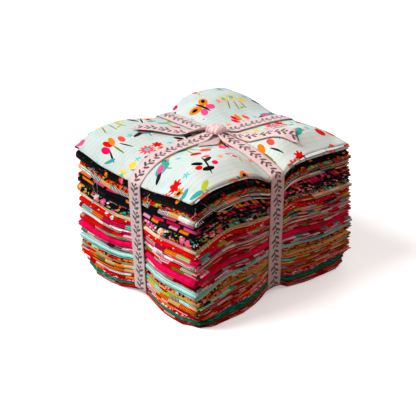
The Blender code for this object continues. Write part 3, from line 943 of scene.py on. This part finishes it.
def loop_line(half, lean, top, under, round_off):
    """A ribbon loop's line in its own plane, round the pile and a little clear of it."""
    on_top, on_corner, on_side, below = LOOP_POINTS
    points = []
    for side, corner in ((1, round_off[1]), (-1, round_off[0])):
        high_edge = half - RIBBON_BITE + side * lean / 2
        low_edge = half - RIBBON_BITE - side * lean / 2
        bend = corner + RIBBON_GAP
        z_top = top(side * (high_edge - corner)) + RIBBON_GAP
        z_low = under(side * (low_edge - corner)) - RIBBON_GAP
        line = []
        for place in np.linspace(0, high_edge - corner, on_top)[1:]:
            line.append((place, top(side * place) + RIBBON_GAP))
        for angle in np.linspace(0, math.pi / 2, on_corner)[1:]:
            line.append((high_edge - corner + bend * math.sin(angle),
                         z_top - bend * (1 - math.cos(angle))))
        for share in np.linspace(0, 1, on_side)[1:-1]:
            line.append((high_edge + (low_edge - high_edge) * share + RIBBON_GAP,
                         z_top - bend + (z_low - z_top + 2 * bend) * share))
        for angle in np.linspace(math.pi / 2, math.pi, on_corner)[:-1]:
            line.append((low_edge - corner + bend * math.sin(angle),
                         z_low + bend * (1 + math.cos(angle))))
        for place in np.linspace(low_edge - corner, 0, below)[:-1]:
            line.append((place, under(side * place) - RIBBON_GAP))
        points += [(side * place, z) for place, z in line[::side]]
    return np.array(points)


def ribbon_loop(along_x, step, drift_top, drift_low, round_off):
    """One loop of ribbon: its places, and the flat place of each."""
    def plan(along, across):
        return (along, across) if along_x else (across, along)

    def top(along):
        return top_at(*plan(along, 0.0)) + step

    def under(along):
        return float(under_height(*map(np.asarray, plan(along, 0.0)))) - step

    half, lean = (WIDTH / 2, LEAN_X) if along_x else (DEPTH / 2, LEAN_Y)
    line = resampled(loop_line(half, lean, top, under, round_off), RIBBON_STEP)
    for _ in range(2):
        line = (np.roll(line, 1, axis=0) + 2 * line + np.roll(line, -1, axis=0)) / 4
    ahead = np.roll(line, -1, axis=0) - np.roll(line, 1, axis=0)
    ahead /= np.linalg.norm(ahead, axis=1)[:, None]
    outward = np.stack([-ahead[:, 1], ahead[:, 0]], axis=-1)
    if (outward * (line - line.mean(0))).sum() < 0:
        outward = -outward
    points, flat = [], []
    for (along, z), (out_a, out_z), travelled in zip(line, outward, distances(*line.T)):
        on_top = out_z > 0.5
        drift = drift_low + (drift_top - drift_low) * np.clip(z / CORNER_HEIGHT, 0, 1)
        width, gather = 1.0, 0.0
        if on_top:
            if z > CORNER_HEIGHT * 0.5:
                drift = drift_top * smooth_step(0.2, 0.9, abs(along) / half)
            width += (GATHER_WIDTH - 1) * (1 - smooth_step(KNOT_FROM, KNOT_CLEAR * 0.8, abs(along)))
            gather = 1 - smooth_step(KNOT_FROM, KNOT_CLEAR, abs(along))
        for offset in np.linspace(-1, 1, RIBBON_CELLS + 1):
            lift = gather * (GATHER_PLEAT * math.cos(offset * math.pi * 2.5) + GATHER_LIFT)
            x, y = plan(along + out_a * lift, drift + offset * RIBBON_WIDTH / 2 * width)
            height = z + out_z * lift
            if on_top:
                height = max(height, top_at(x, y) + RIBBON_GAP + step)
            points.append((x, y, height))
            flat.append((travelled, (offset + 1) / 2 * RIBBON_WIDTH))
    return points, flat, len(line)


def directions(degrees):
    """Unit vectors along and across a direction in the plan."""
    turn = math.radians(degrees)
    return np.array([math.cos(turn), math.sin(turn)]), np.array([-math.sin(turn), math.cos(turn)])


def ribbon_tail(direction, length, slant, roll, wave, root, rise, base):
    """A free end: gathered and rolled at the knot, then flat over a lobe, cut on the slant."""
    along, across = directions(direction)
    centre = top_at(0.0, 0.0)
    offsets = np.linspace(-1, 1, RIBBON_CELLS + 1)
    opens = min(TAIL_OPENS, length * 0.8)
    held = [0.0] * len(offsets)
    points, flat = [], []
    for j in range(TAIL_ROWS + 1):
        share = j / TAIL_ROWS
        gone = length * share
        open_up = smooth_step(0.1, 1.0, gone / opens)
        width = root + (1 - root) * smooth_step(0.05, 0.8, gone / opens)
        angle = math.radians(roll) * (1 - open_up)
        lift = rise * (1 - smooth_step(0.0, 0.9, gone / opens)) + base
        lift += wave * math.sin(share * math.pi * 2.1) ** 2 * share
        near = smooth_step(0.0, 0.4, gone / opens)
        for k, offset in enumerate(offsets):
            side = offset * RIBBON_WIDTH / 2 * width
            far = gone + slant * offset * share ** 2
            pleat = (1 - open_up) * TAIL_PLEAT * math.cos(offset * math.pi * 2.2)
            place = along * far + across * side * math.cos(angle)
            surface = top_at(*place) * near + centre * (1 - near)
            height = surface + lift + pleat + side * math.sin(angle)
            curl = TAIL_CURL * offset ** 2 * open_up
            height = max(height + curl, surface + RIBBON_THICK + 0.5 * base)
            if gone <= length * TAIL_LIES:
                held[k] = height
            elif base > 0:
                height = max(height, held[k] - TAIL_DROOP * (gone - length * TAIL_LIES))
            points.append((*place, height))
            # The folded bit under the knot takes its UV from the plain, darker stretch: partly its back
            # face, partly painted shade from the knot
            if base > 0:
                flat.append((far + TAIL_UV_FROM, (offset + 1) / 2 * RIBBON_WIDTH))
            else:
                flat.append((far + BACK_AND_SHADE_FROM, (offset + 3) / 2 * MM))
    return points, flat, TAIL_ROWS + 1


def ribbon_knot():
    """The flat knot: ribbon wrapped over the crossing, drawn into pleats."""
    along, across = directions(KNOT_TURN)
    length, breadth, height = KNOT_SIZE
    centre = top_at(0.0, 0.0) + height + KNOT_LIFT
    points, flat = [], []
    for j in range(KNOT_ROWS + 1):
        share = -1 + 2 * j / KNOT_ROWS
        girth = max(1 - abs(share) ** 3.2, 0.0) ** 0.45
        for k in range(KNOT_ROUND + 1):
            angle = math.tau * k / KNOT_ROUND
            pleat = KNOT_PLEAT * math.cos(share * 15 + 3.4 * math.cos(angle + 0.4)) * girth
            cross = math.exp(-((share - 0.25 - 0.75 * math.cos(angle + 0.2)) / 0.16) ** 2)
            size = girth * (1 + pleat) - KNOT_CREASE * cross * girth
            place = along * share * length + across * breadth * size * math.cos(angle)
            points.append((*place, centre + height * size * math.sin(angle)))
            flat.append((KNOT_UV_FROM + k / KNOT_ROUND * 0.03, (1.6 + 0.8 * share) * MM))
    return points, flat, KNOT_ROWS + 1


def ribbon(material):
    """The whole ribbon as one sheet: two crossing loops, the knot and two free ends."""
    points, faces, flat = [], [], []

    def join(part, columns, closed):
        places, marks, rows = part
        faces.extend(strip_faces(rows, columns, len(points), closed))
        points.extend(places)
        flat.extend(marks)

    for loop in LOOPS:
        join(ribbon_loop(*loop), RIBBON_CELLS + 1, True)
    for tail in TAILS:
        join(ribbon_tail(*tail), RIBBON_CELLS + 1, False)
    join(ribbon_knot(), KNOT_ROUND + 1, False)
    return thicken(new_object("ribbon_tie", points, faces, flat, material), RIBBON_THICK)


class Growth(Nodes):
    """A Geometry Nodes tree with named inputs, that grows something along given lines."""

    def __init__(self, name, inputs):
        super().__init__(bpy.data.node_groups.new(name, "GeometryNodeTree"), "GeometryNode")
        sockets = self.tree.interface
        for title, kind in inputs.items():
            sockets.new_socket(title, in_out="INPUT", socket_type="NodeSocket" + kind)
        sockets.new_socket("Geometry", in_out="OUTPUT", socket_type="NodeSocketGeometry")
        self.given = dict(zip(inputs, self.node("Input", (), tuple(inputs), "NodeGroup")))

    def close(self, geometry, material):
        """Ends the tree with real geometry in one material."""
        real = self.node("RealizeInstances", (geometry,))
        done = self.node("SetMaterial", {"Geometry": real, "Material": material})
        self.put(self.tree.nodes.new("NodeGroupOutput").inputs["Geometry"], done)
        return self.tree


def thread_tree(material):
    """A fine tube along each line."""
    tree = Growth("Thread along a line", {"Line": "Geometry", "Radius": "Float"})
    curve = tree.node("MeshToCurve", {"Mesh": tree.given["Line"]})
    spline = tree.node("CurveSplineType", {"Curve": curve}, spline_type="CATMULL_ROM")
    again = tree.node("ResampleCurve", {"Curve": spline, "Length": 1.0 * MM}, mode="LENGTH")
    ring = tree.node("CurvePrimitiveCircle", {"Resolution": 5, "Radius": tree.given["Radius"]})
    tube = tree.node("CurveToMesh", {"Curve": again, "Profile Curve": ring, "Fill Caps": True})
    return tree.close(tube, material)


def fray_tree(material):
    """Short bent fibres that stand out along each cut edge."""
    tree = Growth("Frayed edge", {
        "Edges": "Geometry", "Spacing": "Float", "Length": "Float", "Radius": "Float", "Seed": "Int",
    })
    length, seed = tree.given["Length"], tree.given["Seed"]
    curve = tree.node("MeshToCurve", {"Mesh": tree.given["Edges"]})
    again = tree.node("ResampleCurve", {"Curve": curve, "Length": tree.given["Spacing"]},
                      mode="LENGTH")
    bend = tree.node("CurveQuadraticBezier", {
        "Resolution": 4, "Start": (0, 0, -0.1), "Middle": (0.15, 0, 0.6), "End": (0.55, 0.2, 0.9),
    })
    ring = tree.node("CurvePrimitiveCircle",
                     {"Resolution": 3, "Radius": tree.given["Radius"] / length})
    tube = tree.node("CurveToMesh", {"Curve": bend, "Profile Curve": ring})
    outward = tree.node("InputNamedAttribute", {"Name": "outward"}, data_type="FLOAT_VECTOR")
    stray = tree.node("RandomValue", {
        "Min": (-0.8, -0.8, -0.5), "Max": (0.8, 0.8, 0.5), "Seed": seed,
    }, 0, "FunctionNode", data_type="FLOAT_VECTOR")
    look = tree.node("VectorMath", (outward, stray), 0, "ShaderNode")
    turn = tree.node("AlignRotationToVector", {"Vector": look}, 0, "FunctionNode", axis="Z")
    size = tree.node("RandomValue", {2: 0.3, 3: 1.0, "Seed": seed}, 1, "FunctionNode")
    spread = tree.node("InstanceOnPoints", {
        "Points": again, "Instance": tube, "Rotation": turn, "Scale": size * length,
    })
    return tree.close(spread, material)


def grown(name, lines, outward, tree, inputs):
    """A plain mesh piece that a node tree grows along some lines."""
    mesh = bpy.data.meshes.new(name + "_lines")
    points, edges, looks = [], [], []
    for line, look in zip(lines, outward):
        start = len(points)
        points += [tuple(map(float, point)) for point in line]
        looks += [look] * len(line)
        edges += [(start + k, start + k + 1) for k in range(len(line) - 1)]
    mesh.from_pydata(points, edges, [])
    attribute = mesh.attributes.new("outward", "FLOAT_VECTOR", "POINT")
    attribute.data.foreach_set("vector", np.array(looks, np.float32).ravel())
    source = linked(name + "_source", mesh)
    modifier = source.modifiers.new("Grow", "NODES")
    modifier.node_group = tree
    sockets = {item.name: item.identifier for item in tree.interface.items_tree
               if item.item_type == "SOCKET" and item.in_out == "INPUT"}
    for key, value in inputs.items():
        modifier[sockets[key]] = value
    graph = bpy.context.evaluated_depsgraph_get()
    result = bpy.data.meshes.new_from_object(source.evaluated_get(graph))
    bpy.data.objects.remove(source, do_unlink=True)
    result.name = name
    places = np.zeros(len(result.vertices) * 3, np.float32)
    result.vertices.foreach_get("co", places)
    places[2::3] = np.maximum(places[2::3], FLOOR_CLEAR)
    result.vertices.foreach_set("co", places)
    return linked(name, result)


def way_back(azimuth, elevation):
    """The direction from the bundle towards a camera or light."""
    a, e = math.radians(azimuth), math.radians(elevation)
    return Vector((math.sin(a) * math.cos(e), -math.cos(a) * math.cos(e), math.sin(e)))


def aimed(data, place, direction):
    """A camera or light at a place, that looks in a direction."""
    obj = linked(data.name, data)
    obj.location = place
    obj.rotation_mode = "QUATERNION"
    obj.rotation_quaternion = direction.to_track_quat("-Z", "Y")
    return obj


def table():
    """A white acrylic table, lit softly from below."""
    paper = flecked("floor_paper", 300.0, (0.93, 0.93, 0.93), (0.96, 0.96, 0.96),
                    {"Emission Color": (1.0, 1.0, 1.0), "Emission Strength": TABLE_GLOW})
    corners = [(x * TABLE_REACH, y * TABLE_REACH, 0) for x, y in ((-1, -1), (1, -1), (1, 1), (-1, 1))]
    floor = new_object("floor", corners, [(0, 1, 2, 3)], None, paper)
    floor.visible_diffuse = False


def lights():
    """A key light from the left, a weak one from behind, a soft box and a pale sky."""
    for name, azimuth, elevation, spread, share in SUNS:
        sun = bpy.data.lights.new(name, "SUN")
        sun.angle = math.radians(spread)
        sun.energy = share * math.pi
        back = way_back(azimuth, elevation)
        aimed(sun, back, -back)
    box = bpy.data.lights.new("soft_box", "AREA")
    box.size = BOX_SIDE
    box.energy = BOX_POWER
    box.color = BOX_TINT
    aimed(box, BOX_PLACE, Vector(BOX_AIM) - Vector(BOX_PLACE))

    world = bpy.data.worlds.new("studio")
    world.use_nodes = True
    sky = Nodes(world.node_tree, "ShaderNode")
    height = sky.node("SeparateXYZ", (sky.node("TexCoord", out="Generated"),), 2)
    glow = sky.node("MapRange", {
        "Value": height, "From Min": -HORIZON, "From Max": HORIZON, "To Min": SKY_BELOW * SKY,
        "To Max": SKY,
    })
    shader = world.node_tree.nodes["Background"]
    sky.put(shader.inputs["Strength"], glow.math("MAXIMUM", sky.node("LightPath", out="Is Camera Ray")))
    sky.put(shader.inputs["Color"], (1.0, 1.0, 1.0))
    bpy.context.scene.world = world
    bpy.context.scene.view_settings.view_transform = "Standard"
    bpy.context.scene.view_settings.look = "Medium High Contrast"


def camera():
    """The camera at the viewing angle of a product picture, above one corner."""
    back = way_back(CAMERA_AZIMUTH, CAMERA_ELEVATION)
    data = bpy.data.cameras.new("camera")
    data.lens = CAMERA_LENS
    data.clip_start = 0.01
    place = Vector(CAMERA_TARGET) + back * CAMERA_DISTANCE
    bpy.context.scene.camera = aimed(data, place, -back)


def main():
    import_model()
    nose_level, side_level = 1.0, 1.0
    edges, looks = [], []
    for number, row in enumerate(QUARTERS, start=1):
        nose_levels = (nose_level - row[0] / NOSE_SUM, nose_level)
        side_levels = (side_level - row[1] / SIDE_SUM, side_level)
        places, faces, flat = folded_sheet(number, nose_levels, side_levels, row)
        nose_level, side_level = nose_levels[0], side_levels[0]
        name = f"fat_quarter_{number:02d}"
        sheet = new_object(f"sheet_{number:02d}", places.reshape(-1, 3), faces, flat, cotton(number, row))
        spacing = row[1] / SIDE_SUM * CORNER_HEIGHT / LAYERS * PLY_SQUEEZE
        thicken(sheet, min(CLOTH_THICK, PLY_FILL * spacing))
        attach(sheet, "root")
        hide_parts(name)
        edges += [places[:, 0], places[:, -1]]
        looks += [(-1.0, 0.0, 0.0), (1.0, 0.0, 0.0)]

    tie = ribbon(ribbon_finish())
    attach(tie, "root")
    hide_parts("ribbon")

    fibre = flecked("loose_thread", 900.0, tint("grey"), tint("white"), {})
    fray = grown("frayed_fibres", edges, looks, fray_tree(fibre), FRAY)
    threads = [[tuple(value * MM for value in place) for place in line] for line in LOOSE_THREADS]
    loose = grown("loose_threads", threads, [(0.0, 0.0, 1.0)] * len(threads), thread_tree(fibre),
                  THREAD)
    for piece in (fray, loose):
        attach(piece, "root")

    table()
    lights()
    camera()


main()
